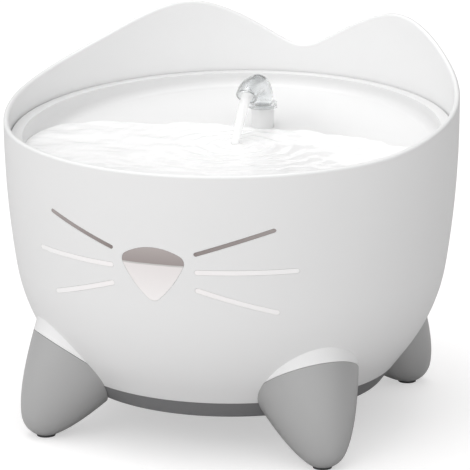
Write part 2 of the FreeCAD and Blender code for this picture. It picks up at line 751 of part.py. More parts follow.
def tray_side(inset):
    """The slightly tapering round form of the tray's side."""
    lean = math.tan(math.radians(size("tray_draft")))
    drop = size("tray_height") - size("dish_height") + size("tray_radius") / 8
    rise = size("tray_radius") / 8
    middle = size("tray_side") - inset
    foot = vector(0, 0, size("tray_height") - drop)
    return Part.makeCone(middle - drop * lean, middle + rise * lean, drop + rise, foot)


def dished_form(inset, extra):
    """The tray's round form above its wide shallow hollow, with a rounded edge."""
    reach = size("dish_radius")
    ball = Part.makeSphere(reach + extra,
                           vector(0, -size("dish_front"), size("dish_height") + reach))
    form = tray_side(inset).common(ball)
    lowest = min(form.Edges, key=lambda edge: edge.CenterOfMass.z)
    return form.makeFillet(size("dish_round") + extra, [lowest])


def drinking_tray():
    wall = size("tray_wall")
    outer = dished_form(0, wall).cut(above_plane(size("tray_height"), size("tray_tilt")))
    lip = tilted_disc(size("tray_radius"), size("tray_height"), size("tray_tilt"),
                      size("lip_thickness"))
    boss = rod(size("stem_flange"), 2 * size("stem_boss"),
               vector(0, size("spout_back"), boss_underside()))
    tray = lip.fuse(outer).fuse(boss).cut(dished_form(wall, 0))
    stem_hole = rod(size("stem_radius") + size("fit"), size("body_radius"),
                    vector(0, size("spout_back"), size("dish_height") - size("body_radius") / 2))
    return tray.cut(stem_hole).removeSplitter()


def deck_at_spout():
    """Height of the tray's hollow floor at the spout."""
    reach = size("dish_radius")
    away = size("spout_back") + size("dish_front")
    return size("dish_height") + reach - math.sqrt(reach ** 2 - away ** 2)


def boss_underside():
    """Height of the flat underside of the tray's boss at the spout."""
    return deck_at_spout() - size("stem_boss")


def flange_top():
    """Top of the stem's flange, under its seal."""
    return boss_underside() - 2 * (size("seal_section") + size("seal_fit"))





def spout_stem():
    """The tube that carries the water up through the tray, with its socket."""
    foot = flange_top() - size("stem_flange_height") - size("socket_length")
    step = "socket_length + stem_flange_height"
    top = f"stem_top - {foot}"
    seat = f"outlet_top + 2 * fit - {foot}"
    stem = turned_body("spout_stem", (
        ("outlet_radius + fit", "0"),
        ("outlet_radius + fit + socket_wall", "0"),
        ("outlet_radius + fit + socket_wall", "socket_length"),
        ("stem_flange", "socket_length"),
        ("stem_flange", step),
        ("stem_radius", step),
        ("stem_radius", top),
        ("stem_bore", top),
        ("stem_bore", seat),
        ("outlet_radius + fit", seat),
    ))
    stem.Placement.Base.z = foot
    bind(stem, Placement__Base__y="spout_back")


def stem_seal():
    """A rubber ring between the stem's flange and the underside of the tray."""
    ring = doc.addObject("Part::Torus", "stem_seal")
    bind(ring, Radius1="stem_flange - 2 * seal_section", Radius2="seal_section")
    ring.Placement.Base.z = flange_top() + size("seal_section") + size("seal_fit")
    bind(ring, Placement__Base__y="spout_back")
    nodes.append(ring)


def hood_path(start):
    """Up, forwards in an arc, along the arm and down to the mouth."""
    knee = vector(0, size("spout_back"), size("hood_start") + size("hood_rise"))
    foot = vector(knee.x, knee.y, start)
    bend = size("hood_bend")
    half = math.sqrt(0.5)
    crest = knee + vector(0, -bend, bend)
    between = knee + vector(0, -bend * (1 - half), bend * half)
    arm_end = crest - vector(0, size("hood_arm"), 0)
    drop = math.radians(size("hood_drop"))
    tip = size("hood_drop_bend")

    def on_drop(angle):
        return arm_end - vector(0, tip * math.sin(angle), tip * (1 - math.cos(angle)))

    return Part.Wire([
        Part.makeLine(foot, knee),
        Part.Arc(knee, between, crest).toShape(),
        Part.makeLine(crest, arm_end),
        Part.Arc(arm_end, on_drop(drop / 2), on_drop(drop)).toShape(),
    ])


def spout_hood():
    """The clear bent hood that turns the water forwards, with a foot on the stem."""
    start = size("hood_start")
    foot = vector(0, size("spout_back"), start)
    collar = rod(size("hood_foot_radius"), size("hood_foot_height"), foot)
    hollow = rod(size("stem_radius") + size("hood_gap"),
                 size("stem_top") + size("hood_gap") - start, foot)
    hood = hood_tube(size("hood_radius"), start).fuse(collar).cut(hollow)
    return hood.cut(hood_tube(size("hood_radius") - size("hood_wall"), start)).removeSplitter()


def hood_tube(radius, start):
    section = Part.Wire(Part.makeCircle(radius, vector(0, size("spout_back"), start), UP))
    return hood_path(start).makePipeShell([section], True, False)



def pump_floor():
    return tank_floor_top() + size("cup_height")


def pump_front():
    return size("pump_back") - size("pump_depth") / 2


def impeller_axis_height():
    return pump_floor() + size("impeller_height")


def upright_box(width, depth, height, foot, radius):
    """A block with rounded upright corners; foot is the middle of its base."""
    box = Part.makeBox(width, depth, height, foot - vector(width / 2, depth / 2, 0))
    upright = [edge for edge in box.Edges if abs(edge.BoundBox.ZLength - height) < 0.01]
    return box.makeFillet(radius, upright)


def pump_case():
    foot = vector(0, size("pump_back") + size("cover_thickness") / 2, pump_floor())
    depth = size("pump_depth") - size("cover_thickness")
    case = upright_box(size("pump_width"), depth, size("pump_height"), foot, size("pump_round"))
    front = pump_front() + size("cover_thickness")
    back = vector(0, 1, 0)
    mouth = vector(0, front, impeller_axis_height())
    case = case.cut(rod(size("chamber_radius"), size("chamber_depth"), mouth, back))
    case = case.cut(rod(size("well_radius"), size("well_depth") + size("chamber_depth"),
                        mouth, back))
    outlet = vector(0, size("spout_back"), pump_floor() + size("pump_height"))
    case = case.cut(rod(size("outlet_radius") + size("fit"), size("outlet_socket"),
                        outlet - UP * size("outlet_socket")))
    top = pump_floor() + size("pump_height")
    gland = vector(size("gland_side"), size("pump_back") + size("cup_along") / 2, top)
    case = case.cut(rod(size("gland_radius") + size("fit"), size("gland_length") / 2,
                        gland - UP * (size("gland_length") / 2)))
    return case.removeSplitter()


def pump_cover():
    """The slotted cover over the impeller chamber, with the front bush's seat."""
    width = size("pump_width")
    height = size("pump_height")
    thickness = size("cover_thickness") - size("fit")
    front = pump_front()
    foot = vector(-width / 2, front, pump_floor())
    cover = Part.makeBox(width, thickness, height, foot)
    rounded = [edge for edge in cover.Edges if abs(edge.BoundBox.YLength - thickness) < 0.01]
    cover = cover.makeFillet(size("pump_round") / 2, rounded)
    axis = impeller_axis_height()
    count = int(size("cover_slot_count"))
    middle = (count - 1) / 2
    for index in range(count):
        if index == middle:
            continue
        offset = (index - middle) * size("cover_pitch")
        slot = Part.makeBox(size("cover_slot"), 3 * thickness, size("cover_slot_length"),
                            vector(offset - size("cover_slot") / 2, front - thickness,
                                   axis - size("cover_slot_length") / 2))
        cover = cover.cut(slot)
    seat = vector(0, front + thickness - size("bush_length"), axis)
    cover = cover.cut(rod(size("bush_radius") + size("fit"), size("bush_length"), seat,
                          vector(0, 1, 0)))
    return cover










def suction_cups():
    """Four rubber cups under the pump."""
    cups = []
    for x_side in (-1, 1):
        for y_side in (-1, 1):
            foot = vector(x_side * size("cup_across") / 2,
                          size("pump_back") + y_side * size("cup_along") / 2, tank_floor_top())
            lower = size("cup_height") * 0.6
            skirt = Part.makeCone(size("cup_radius"), size("cup_radius") / 2, lower, foot)
            neck = rod(size("cup_radius") / 2, size("cup_height") - lower, foot + UP * lower)
            cups.append(skirt.fuse(neck).removeSplitter())
    return Part.makeCompound(cups)









def front_bush():
    bush = turned_body("front_bush", ring_section(SHAFT_BORE, "bush_radius", "bush_length"))
    lay_along_y(bush, FRONT_BUSH, PUMP_AXIS)


def rear_bush():
    """The bush that fills the end of the rotor well."""
    bush = turned_body("rear_bush", ring_section(SHAFT_BORE, "well_radius - fit", "bush_length"))
    lay_along_y(bush, REAR_BUSH, PUMP_AXIS)


def impeller_shaft():
    length = f"{REAR_BUSH} + bush_length - 2 * fit - {FRONT_BUSH}"
    shaft = turned_body("impeller_shaft", ring_section("0", "shaft_radius", length))
    lay_along_y(shaft, f"{FRONT_BUSH} + fit", PUMP_AXIS)


def impeller():
    """A disc with straight blades on a hub, around the shaft."""
    wheel = turned_body("impeller", (
        (SHAFT_BORE, "0"),
        ("bush_radius", "0"),
        ("bush_radius", "impeller_width"),
        ("impeller_radius", "impeller_width"),
        ("impeller_radius", "impeller_width + impeller_disc"),
        (SHAFT_BORE, "impeller_width + impeller_disc"),
    ))
    sketch = new_sketch(wheel, "blade_outline", "XY_Plane")
    draw_outline(sketch, (
        ("bush_radius / 2", "-blade_thickness / 2"),
        ("impeller_radius", "-blade_thickness / 2"),
        ("impeller_radius", "blade_thickness / 2"),
        ("bush_radius / 2", "blade_thickness / 2"),
    ))
    blade = wheel.newObject("PartDesign::Pad", "impeller_blade")
    blade.Profile = sketch
    bind(blade, Length="impeller_width")
    doc.recompute()
    around(wheel, blade, sketch, "blade_count")
    lay_along_y(wheel, f"{CHAMBER_FRONT} + impeller_gap", PUMP_AXIS)


def rotor_magnet():
    magnet = turned_body("rotor_magnet", ring_section(SHAFT_BORE, "magnet_radius",
                                                      "magnet_length"))
    start = f"{CHAMBER_FRONT} + impeller_gap + impeller_width + impeller_disc"
    lay_along_y(magnet, start, PUMP_AXIS)


def outlet_tube():
    foot = f"{PUMP_TOP} - outlet_socket + fit"
    tube = turned_body("outlet_tube", ring_section("outlet_radius - outlet_wall",
                                                   "outlet_radius", f"outlet_top - ({foot})"))
    bind(tube, Placement__Base__y="spout_back", Placement__Base__z=foot)


def cable_gland():
    """The stepped rubber gland on top of the pump."""
    gland = turned_body("cable_gland", (
        ("0", "0"),
        ("gland_radius", "0"),
        ("gland_radius", "gland_length / 2"),
        ("gland_radius - gland_wall", "gland_length / 2"),
        ("gland_bore + gland_wall", "gland_length"),
        ("gland_bore", "gland_length"),
        ("gland_bore", "gland_length / 2"),
        ("0", "gland_length / 2"),
    ))
    bind(gland, Placement__Base__x="gland_side", Placement__Base__y="pump_back + cup_along / 2",
         Placement__Base__z=f"{PUMP_TOP} - gland_length / 2 + fit")


def lid_slots(body):
    """Radial slots through a disc of the cartridge."""
    sketch = new_sketch(body, "slot_outline", "XY_Plane")
    draw_outline(sketch, (
        ("lid_slot_inner", "-lid_slot_width / 2"),
        ("lid_slot_outer", "-lid_slot_width / 2"),
        ("lid_slot_outer", "lid_slot_width / 2"),
        ("lid_slot_inner", "lid_slot_width / 2"),
    ))
    slot = body.newObject("PartDesign::Pocket", f"{body.Name}_slot")
    slot.Profile = sketch
    slot.Type = "ThroughAll"
    slot.Reversed = True
    whole = body.Shape.Volume
    doc.recompute()
    if slot.Shape.Volume >= whole:
        raise RuntimeError(f"the slots of {body.Label} cut nothing")
    around(body, slot, sketch, "lid_slots")


def stand_cartridge(body, lift):
    bind(body, Placement__Base__y="-filter_front", Placement__Base__z=f"{CARTRIDGE_FOOT} + {lift}")


def filter_frame():
    """An open round cartridge on three feet, with a slotted floor."""
    body = turned_body("filter_frame", (
        ("0", "0"),
        ("filter_radius", "0"),
        ("filter_radius", "filter_height - filter_lid"),
        ("filter_radius - filter_wall", "filter_height - filter_lid"),
        ("filter_radius - filter_wall", "filter_wall"),
        ("0", "filter_wall"),
    ))
    lid_slots(body)
    sketch = new_sketch(body, "foot_outline", "XY_Plane")
    draw_circle(sketch, "0", "filter_foot_ring", "filter_foot_radius")
    foot = body.newObject("PartDesign::Pad", "filter_frame_foot")
    foot.Profile = sketch
    foot.Reversed = True
    bind(foot, Length="filter_feet - fit")
    doc.recompute()
    pattern = body.newObject("PartDesign::PolarPattern", "filter_frame_feet")
    pattern.Originals = [foot]
    pattern.Axis = (sketch, ["N_Axis"])
    pattern.Angle = 360
    pattern.Occurrences = 3
    body.Tip = pattern
    stand_cartridge(body, "0 * fit")


def filter_lid():
    """The cartridge's slotted lid with its knob."""
    top = "lid_register + filter_lid"
    body = turned_body("filter_lid", (
        ("0", "0"),
        ("filter_radius - filter_wall - fit", "0"),
        ("filter_radius - filter_wall - fit", "lid_register"),
        ("filter_radius", "lid_register"),
        ("filter_radius", top),
        ("lid_knob_radius", top),
        ("lid_knob_radius", f"{top} + lid_knob_height - lid_knob_bevel"),
        ("lid_knob_radius - lid_knob_bevel", f"{top} + lid_knob_height"),
        ("0", f"{top} + lid_knob_height"),
    ))
    lid_slots(body)
    stand_cartridge(body, "filter_height - filter_lid - lid_register + fit")


def filter_foam():
    foam = turned_body("filter_foam", ring_section("0", MEDIA_RADIUS, "foam_height"))
    stand_cartridge(foam, "filter_wall + media_fit")


def carbon_bed():
    bed = turned_body("carbon_bed", ring_section("0", MEDIA_RADIUS, "carbon_height"))
    stand_cartridge(bed, "filter_wall + 2 * media_fit + foam_height")


node("outer_shell", outer_shell())
for window_name, window_bar in window_prisms(-size("window_fit")).items():
    node(window_name, window(window_bar))
node("water_tank", water_tank())
node("base_plate", base_plate())
for leg_name, leg_angle in LEGS.items():
    node(f"{leg_name}_leg", leg(leg_angle))
    foot_pad(f"{leg_name}_foot_pad", leg_angle)
node("leg_screws", leg_screws())
node("base_screws", base_screws())
node("cable_grommet", cable_grommet())
node("drinking_tray", drinking_tray())
spout_stem()
stem_seal()
node("spout_hood", spout_hood())
node("pump_case", pump_case())
node("pump_cover", pump_cover())
front_bush()
rear_bush()
impeller_shaft()
impeller()
rotor_magnet()
outlet_tube()
node("suction_cups", suction_cups())
cable_gland()
filter_frame()
filter_foam()
carbon_bed()
filter_lid()

doc.recompute()
for item in doc.Objects:
    if "Invalid" in item.State or "Error" in item.State:
        raise RuntimeError(f"{item.Label} failed")
for item in nodes:
    if item.Shape.isNull() or not item.Shape.isValid():
        raise RuntimeError(f"{item.Label} has no valid shape")
for item in nodes:
    item.Shape.exportStep(f"parts/{item.Label}.step")
    box = item.Shape.optimalBoundingBox()
    print(item.Label, len(item.Shape.Solids), round(item.Shape.Volume, 1),
          [round(v, 1) for v in (box.XMin, box.YMin, box.ZMin, box.XMax, box.YMax, box.ZMax)])
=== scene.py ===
import math

import bmesh
import bpy
from bpy.props import FloatProperty, FloatVectorProperty, PointerProperty
from mathutils import Matrix, Vector, noise


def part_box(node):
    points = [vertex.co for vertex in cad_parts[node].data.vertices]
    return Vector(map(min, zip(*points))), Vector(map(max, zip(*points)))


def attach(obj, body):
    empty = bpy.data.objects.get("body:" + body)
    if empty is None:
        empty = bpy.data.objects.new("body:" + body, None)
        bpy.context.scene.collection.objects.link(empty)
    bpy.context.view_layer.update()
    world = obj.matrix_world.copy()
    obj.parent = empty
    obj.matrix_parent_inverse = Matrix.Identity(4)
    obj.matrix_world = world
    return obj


bl_info = {
    "name": "Pet Water Fountain",
    "version": (1, 0, 0),
    "blender": (4, 5, 0),
    "location": "3D Viewport > Sidebar > Fountain",
    "description": "Dresses the fountain's parts, fills it with water and sets a plain studio",
    "category": "Object",
}

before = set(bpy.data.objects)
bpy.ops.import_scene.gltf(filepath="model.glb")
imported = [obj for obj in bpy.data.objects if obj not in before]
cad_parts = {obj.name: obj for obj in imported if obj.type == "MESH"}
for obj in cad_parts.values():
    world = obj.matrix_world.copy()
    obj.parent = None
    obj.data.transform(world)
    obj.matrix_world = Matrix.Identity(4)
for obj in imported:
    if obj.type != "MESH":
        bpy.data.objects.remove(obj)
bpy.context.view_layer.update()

HOOD_LOW, HOOD_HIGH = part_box("spout_hood")
NOSE_LOW, NOSE_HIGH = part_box("nose_window")

# How far the whiskers' inner and outer ends are from the middle.
WHISKER_START = 0.020
WHISKER_END = 0.065

# Where the water leaves the hood, from the front and the top of its box.
MOUTH_INSIDE = 0.0045
MOUTH_BELOW_TOP = 0.0078
MOUTH_DIP = math.radians(38)

JET_STEPS = 18
JET_SEGMENTS = 24
JET_NARROWING = 0.3
JET_SWELL = 0.04
JET_SWELL_TURNS = 23.0
JET_SINK = 0.001

POOL_SEGMENTS = 160
POOL_CELL = 0.0015
POOL_CELLS_EACH_WAY = 68
POOL_SINK = 0.001
POOL_CALM_EDGE = 0.006

RING_HEIGHT = 0.9
RING_RATE = 700.0
RING_FADE = 38.0
SWELL_HEIGHT = 0.8
CHOP_HEIGHT = 0.4


class WaterSettings(bpy.types.PropertyGroup):
    """Levels and sizes of the water."""

    level: FloatProperty(
        name="Level", description="Height of the water in the tray",
        default=0.135, unit="LENGTH")
    reach: FloatProperty(
        name="Reach", description="Radius of the water in the tray",
        default=0.1035, unit="LENGTH")
    hollow_radius: FloatProperty(
        name="Hollow Radius", description="Radius of the hollow of the tray's floor",
        default=1.6, unit="LENGTH")
    hollow_front: FloatProperty(
        name="Hollow Front", description="Distance of the hollow's lowest point from the axis",
        default=0.182, unit="LENGTH")
    hollow_height: FloatProperty(
        name="Hollow Height", description="Height of the hollow's lowest point",
        default=0.1189, unit="LENGTH")
    tank_level: FloatProperty(
        name="Tank Level", description="Height of the water in the tank",
        default=0.1035, unit="LENGTH")
    ripple: FloatProperty(
        name="Ripple", description="Height of the rings round the falling water",
        default=0.0007, unit="LENGTH")
    stream_radius: FloatProperty(
        name="Stream Radius", description="Radius of the falling water at the mouth",
        default=0.0030, unit="LENGTH")
    landing: FloatProperty(
        name="Landing", description="Distance behind the axis where the water lands",
        default=0.004, unit="LENGTH")
    tint: FloatVectorProperty(
        name="Tint", description="Colour of the water",
        default=(1.0, 1.0, 1.0), subtype="COLOR", size=3)


class FinishSettings(bpy.types.PropertyGroup):
    """Colours of the mouldings."""

    shell: FloatVectorProperty(
        name="Shell", description="Colour of the white outer shell",
        default=(0.86, 0.86, 0.86), subtype="COLOR", size=3)
    tray: FloatVectorProperty(
        name="Tray", description="Colour of the drinking tray",
        default=(0.78, 0.78, 0.78), subtype="COLOR", size=3)
    leg: FloatVectorProperty(
        name="Legs", description="Colour of the legs",
        default=(0.42, 0.42, 0.42), subtype="COLOR", size=3)
    base: FloatVectorProperty(
        name="Base", description="Colour of the base",
        default=(0.20, 0.20, 0.205), subtype="COLOR", size=3)
    smoke: FloatVectorProperty(
        name="Smoke", description="Colour of the smoky tank and the dark windows",
        default=(0.30, 0.26, 0.25), subtype="COLOR", size=3)


class StudioSettings(bpy.types.PropertyGroup):
    """Camera and light."""

    azimuth: FloatProperty(
        name="Azimuth", description="Camera's angle round the fountain",
        default=math.radians(19.53), subtype="ANGLE")
    elevation: FloatProperty(
        name="Elevation", description="Camera's angle above the horizon",
        default=math.radians(15.05), subtype="ANGLE")
    distance: FloatProperty(
        name="Distance", description="Camera's distance from the middle of the body",
        default=1.5015, unit="LENGTH")
    lens: FloatProperty(
        name="Lens", description="Focal length", default=231.2, unit="CAMERA")
    aim_side: FloatProperty(
        name="Aim Side", description="Sideways offset of the aim",
        default=0.00174, unit="LENGTH")
    aim_height: FloatProperty(
        name="Aim Height", description="Height of the aim", default=0.08992, unit="LENGTH")


def settings(name):
    return getattr(bpy.context.scene, name)


def new_group(name, inputs, outputs):
    """An empty shader node group with its sockets."""
    tree = bpy.data.node_groups.new(name, "ShaderNodeTree")
    for socket, kind, value in inputs:
        made = tree.interface.new_socket(socket, in_out="INPUT", socket_type=kind)
        made.default_value = value
    for socket, kind in outputs:
        tree.interface.new_socket(socket, in_out="OUTPUT", socket_type=kind)
    start = tree.nodes.new("NodeGroupInput")
    end = tree.nodes.new("NodeGroupOutput")
    return tree, start, end


def noise_node(tree, vector, scale, detail, roughness=0.5):
    made = tree.nodes.new("ShaderNodeTexNoise")
    made.inputs["Detail"].default_value = detail
    made.inputs["Roughness"].default_value = roughness
    tree.links.new(vector, made.inputs["Vector"])
    if isinstance(scale, (int, float)):
        made.inputs["Scale"].default_value = scale
    else:
        tree.links.new(scale, made.inputs["Scale"])
    return made.outputs["Fac"]


def math_node(tree, kind, first, second=None, third=None):
    made = tree.nodes.new("ShaderNodeMath")
    made.operation = kind
    for index, value in enumerate((first, second, third)):
        if value is None:
            continue
        if isinstance(value, (int, float)):
            made.inputs[index].default_value = value
        else:
            tree.links.new(value, made.inputs[index])
    return made.outputs[0]


def mix_colour(tree, factor, first, second):
    made = tree.nodes.new("ShaderNodeMix")
    made.data_type = "RGBA"
    for socket, value in ((0, factor), (6, first), (7, second)):
        if hasattr(value, "is_output"):
            tree.links.new(value, made.inputs[socket])
        elif socket == 0:
            made.inputs[socket].default_value = value
        else:
            made.inputs[socket].default_value = (*value[:3], 1.0)
    return made.outputs[2]


def object_vector(tree):
    return tree.nodes.new("ShaderNodeTexCoord").outputs["Object"]


def coordinate(tree, where, axis):
    split = tree.nodes.new("ShaderNodeSeparateXYZ")
    tree.links.new(where, split.inputs[0])
    return split.outputs[axis]


def share_between(tree, value, low, high):
    """0 at the low end of a range and 1 at its high end."""
    made = tree.nodes.new("ShaderNodeMapRange")
    tree.links.new(value, made.inputs["Value"])
    made.inputs["From Min"].default_value = low
    made.inputs["From Max"].default_value = high
    return made.outputs["Result"]


def moulding_group():
    """Slow colour drift and fine grain of a moulded plastic surface."""
    tree, start, end = new_group(
        "Moulding",
        [("Colour", "NodeSocketColor", (0.8, 0.8, 0.8, 1)),
         ("Drift Colour", "NodeSocketColor", (0.7, 0.7, 0.7, 1)),
         ("Drift", "NodeSocketFloat", 0.3),
         ("Grain Scale", "NodeSocketFloat", 900.0),
         ("Roughness", "NodeSocketFloat", 0.3),
         ("Roughness Drift", "NodeSocketFloat", 0.05)],
        [("Colour", "NodeSocketColor"), ("Roughness", "NodeSocketFloat"),
         ("Height", "NodeSocketFloat")])
    where = object_vector(tree)
    clouds = noise_node(tree, where, 9.0, 3.0)
    share = math_node(tree, "MULTIPLY", clouds, start.outputs["Drift"])
    tint = mix_colour(tree, share, start.outputs["Colour"], start.outputs["Drift Colour"])
    tree.links.new(tint, end.inputs["Colour"])
    smear = noise_node(tree, where, 34.0, 4.0)
    centred = math_node(tree, "SUBTRACT", smear, 0.5)
    rough = math_node(tree, "MULTIPLY_ADD", centred, start.outputs["Roughness Drift"],
                      start.outputs["Roughness"])
    tree.links.new(rough, end.inputs["Roughness"])
    grain = noise_node(tree, where, start.outputs["Grain Scale"], 2.0)
    tree.links.new(grain, end.inputs["Height"])
    return tree


def cells_group():
    """Pores or grains: a cell pattern as a mask and a height."""
    tree, start, end = new_group(
        "Cells",
        [("Scale", "NodeSocketFloat", 300.0), ("Edge", "NodeSocketFloat", 0.4)],
        [("Mask", "NodeSocketFloat"), ("Height", "NodeSocketFloat")])
    where = object_vector(tree)
    cells = tree.nodes.new("ShaderNodeTexVoronoi")
    tree.links.new(where, cells.inputs["Vector"])
    tree.links.new(start.outputs["Scale"], cells.inputs["Scale"])
    over = math_node(tree, "GREATER_THAN", cells.outputs["Distance"], start.outputs["Edge"])
    tree.links.new(over, end.inputs["Mask"])
    tree.links.new(cells.outputs["Distance"], end.inputs["Height"])
    return tree


def shared_group(name, builder):
    found = bpy.data.node_groups.get(name)
    return found if found else builder()


def place_group(tree, name, builder, values):
    made = tree.nodes.new("ShaderNodeGroup")
    made.node_tree = shared_group(name, builder)
    for socket, value in values.items():
        made.inputs[socket].default_value = value
    return made


def new_material(name):
    material = bpy.data.materials.new(name)
    material.use_nodes = True
    tree = material.node_tree
    return material, tree, tree.nodes["Principled BSDF"]


def bump(tree, height, shader, depth, strength):
    made = tree.nodes.new("ShaderNodeBump")
    made.inputs["Strength"].default_value = strength
    made.inputs["Distance"].default_value = depth
    tree.links.new(height, made.inputs["Height"])
    tree.links.new(made.outputs["Normal"], shader.inputs["Normal"])


def with_alpha(colour):
    return (*colour[:3], 1.0)


def moulded(name, colour, drift_colour, roughness, grain_scale, grain_depth,
            drift=0.5, roughness_drift=0.08, coat=0.0):
    """A moulded plastic or rubber."""
    material, tree, shader = new_material(name)
    skin = place_group(tree, "Moulding", moulding_group, {
        "Colour": with_alpha(colour),
        "Drift Colour": with_alpha(drift_colour),
        "Drift": drift,
        "Grain Scale": grain_scale,
        "Roughness": roughness,
        "Roughness Drift": roughness_drift,
    })
    tree.links.new(skin.outputs["Colour"], shader.inputs["Base Color"])
    tree.links.new(skin.outputs["Roughness"], shader.inputs["Roughness"])
    bump(tree, skin.outputs["Height"], shader, grain_depth, 0.35)
    shader.inputs["Coat Weight"].default_value = coat
    shader.inputs["Coat Roughness"].default_value = 0.12
    return material


def shaded(colour, factor):
    return tuple(value * factor for value in colour[:3])


def white_shell():
    colour = settings("fountain_finish").shell
    return moulded("white_shell_plastic", colour, shaded(colour, 0.96), 0.38, 1400.0,
                   0.00002, drift=0.6, coat=0.25)


def white_tray():
    colour = settings("fountain_finish").tray
    return moulded("white_tray_plastic", colour, shaded(colour, 0.97), 0.3, 1500.0,
                   0.00001, coat=0.2)


def grey_leg():
    colour = settings("fountain_finish").leg
    return moulded("grey_leg_plastic", colour, shaded(colour, 0.92), 0.36, 1100.0, 0.00004,
                   coat=0.2)


def grey_base():
    colour = settings("fountain_finish").base
    return moulded("grey_base_plastic", colour, shaded(colour, 0.88), 0.5, 1000.0, 0.00005)


def rubber():
    return moulded("soft_rubber", (0.045, 0.045, 0.048), (0.07, 0.07, 0.07), 0.72, 700.0,
                   0.00008)


def black_plastic():
    return moulded("pump_black_plastic", (0.03, 0.03, 0.034), (0.05, 0.05, 0.052), 0.42,
                   800.0, 0.00006)


def cover_plastic():
    return moulded("pump_cover_plastic", (0.05, 0.05, 0.055), (0.075, 0.075, 0.08), 0.5,
                   700.0, 0.00008)


def nylon():
    return moulded("natural_nylon", (0.66, 0.65, 0.60), (0.58, 0.57, 0.52), 0.4, 900.0,
                   0.00004)


def ferrite():
    return moulded("dark_ferrite", (0.035, 0.033, 0.032), (0.06, 0.056, 0.05), 0.6, 500.0,
                   0.00010)


def filter_plastic():
    return moulded("filter_white_plastic", (0.82, 0.82, 0.80), (0.76, 0.76, 0.74), 0.45,
                   900.0, 0.00005)


def ceramic():
    return moulded("shaft_ceramic", (0.86, 0.85, 0.82), (0.8, 0.79, 0.76), 0.16, 2000.0,
                   0.00001, coat=0.5)


def steel():
    """Plated screws with fine turning marks."""
    material, tree, shader = new_material("plated_steel")
    where = object_vector(tree)
    marks = noise_node(tree, where, 1600.0, 3.0, 0.6)
    tint = mix_colour(tree, marks, (0.52, 0.52, 0.54), (0.68, 0.68, 0.70))
    tree.links.new(tint, shader.inputs["Base Color"])
    rough = math_node(tree, "MULTIPLY_ADD", marks, 0.2, 0.2)
    tree.links.new(rough, shader.inputs["Roughness"])
    shader.inputs["Metallic"].default_value = 1.0
    bump(tree, marks, shader, 0.00002, 0.4)
    return material


def foam():
    """Open-cell filter foam."""
    material, tree, shader = new_material("filter_foam")
    pores = place_group(tree, "Cells", cells_group, {"Scale": 420.0, "Edge": 0.42})
    tint = mix_colour(tree, pores.outputs["Mask"], (0.86, 0.87, 0.88), (0.42, 0.45, 0.48))
    tree.links.new(tint, shader.inputs["Base Color"])
    shader.inputs["Roughness"].default_value = 0.9
    bump(tree, pores.outputs["Height"], shader, 0.0008, 0.8)
    return material


def carbon():
    """Granular active carbon."""
    material, tree, shader = new_material("active_carbon")
    grains = place_group(tree, "Cells", cells_group, {"Scale": 560.0, "Edge": 0.5})
    tint = mix_colour(tree, grains.outputs["Mask"], (0.035, 0.035, 0.037), (0.012, 0.012, 0.012))
    tree.links.new(tint, shader.inputs["Base Color"])
    shader.inputs["Roughness"].default_value = 0.55
    bump(tree, grains.outputs["Height"], shader, 0.001, 1.0)
    return material


def smoky_tank():
    """Smoky see-through plastic of the water tank."""
    colour = settings("fountain_finish").smoke
    material, tree, shader = new_material("smoky_tank_plastic")
    skin = place_group(tree, "Moulding", moulding_group, {
        "Colour": with_alpha(shaded(colour, 1.6)),
        "Drift Colour": with_alpha(shaded(colour, 1.3)),
        "Drift": 0.6,
        "Grain Scale": 1200.0,
        "Roughness": 0.12,
        "Roughness Drift": 0.05,
    })
    tree.links.new(skin.outputs["Colour"], shader.inputs["Base Color"])
    tree.links.new(skin.outputs["Roughness"], shader.inputs["Roughness"])
    bump(tree, skin.outputs["Height"], shader, 0.00001, 0.3)
    shader.inputs["Alpha"].default_value = 0.6
    return material


def nose_window():
    """Shows the smoky tank as colour: grey-brown above its water line and pale below."""
    material, tree, shader = new_material("nose_window_plastic")
    water = settings("fountain_water")
    where = object_vector(tree)
    height = coordinate(tree, where, "Z")
    wobble = noise_node(tree, where, 60.0, 2.0)
    level = math_node(tree, "MULTIPLY_ADD", wobble, 0.0006, water.tank_level - 0.0003)
    above = math_node(tree, "GREATER_THAN", height, level)
    rise = share_between(tree, height, water.tank_level, NOSE_HIGH.z)
    upper = mix_colour(tree, rise, (0.36, 0.315, 0.305), (0.47, 0.42, 0.41))
    depth = share_between(tree, height, NOSE_LOW.z, water.tank_level)
    lower = mix_colour(tree, depth, (0.97, 0.94, 0.935), (0.86, 0.82, 0.815))
    tint = mix_colour(tree, above, lower, upper)
    edge = math_node(tree, "COMPARE", height, level, 0.00035)
    lined = mix_colour(tree, edge, tint, (0.62, 0.60, 0.59))
    tree.links.new(lined, shader.inputs["Base Color"])
    shader.inputs["Roughness"].default_value = 0.12
    shader.inputs["Coat Weight"].default_value = 0.4
    return material


def whisker_window(name, start, end, drift):
    """A whisker window, its colour shifting from its inner to its outer end."""
    material, tree, shader = new_material(name)
    where = object_vector(tree)
    side = math_node(tree, "ABSOLUTE", coordinate(tree, where, "X"))
    along = share_between(tree, side, WHISKER_START, WHISKER_END)
    base = mix_colour(tree, along, start, end)
    clouds = noise_node(tree, where, 120.0, 3.0)
    share = math_node(tree, "MULTIPLY", clouds, 0.5)
    tint = mix_colour(tree, share, base, drift)
    tree.links.new(tint, shader.inputs["Base Color"])
    shader.inputs["Roughness"].default_value = 0.15
    shader.inputs["Coat Weight"].default_value = 0.3
    return material


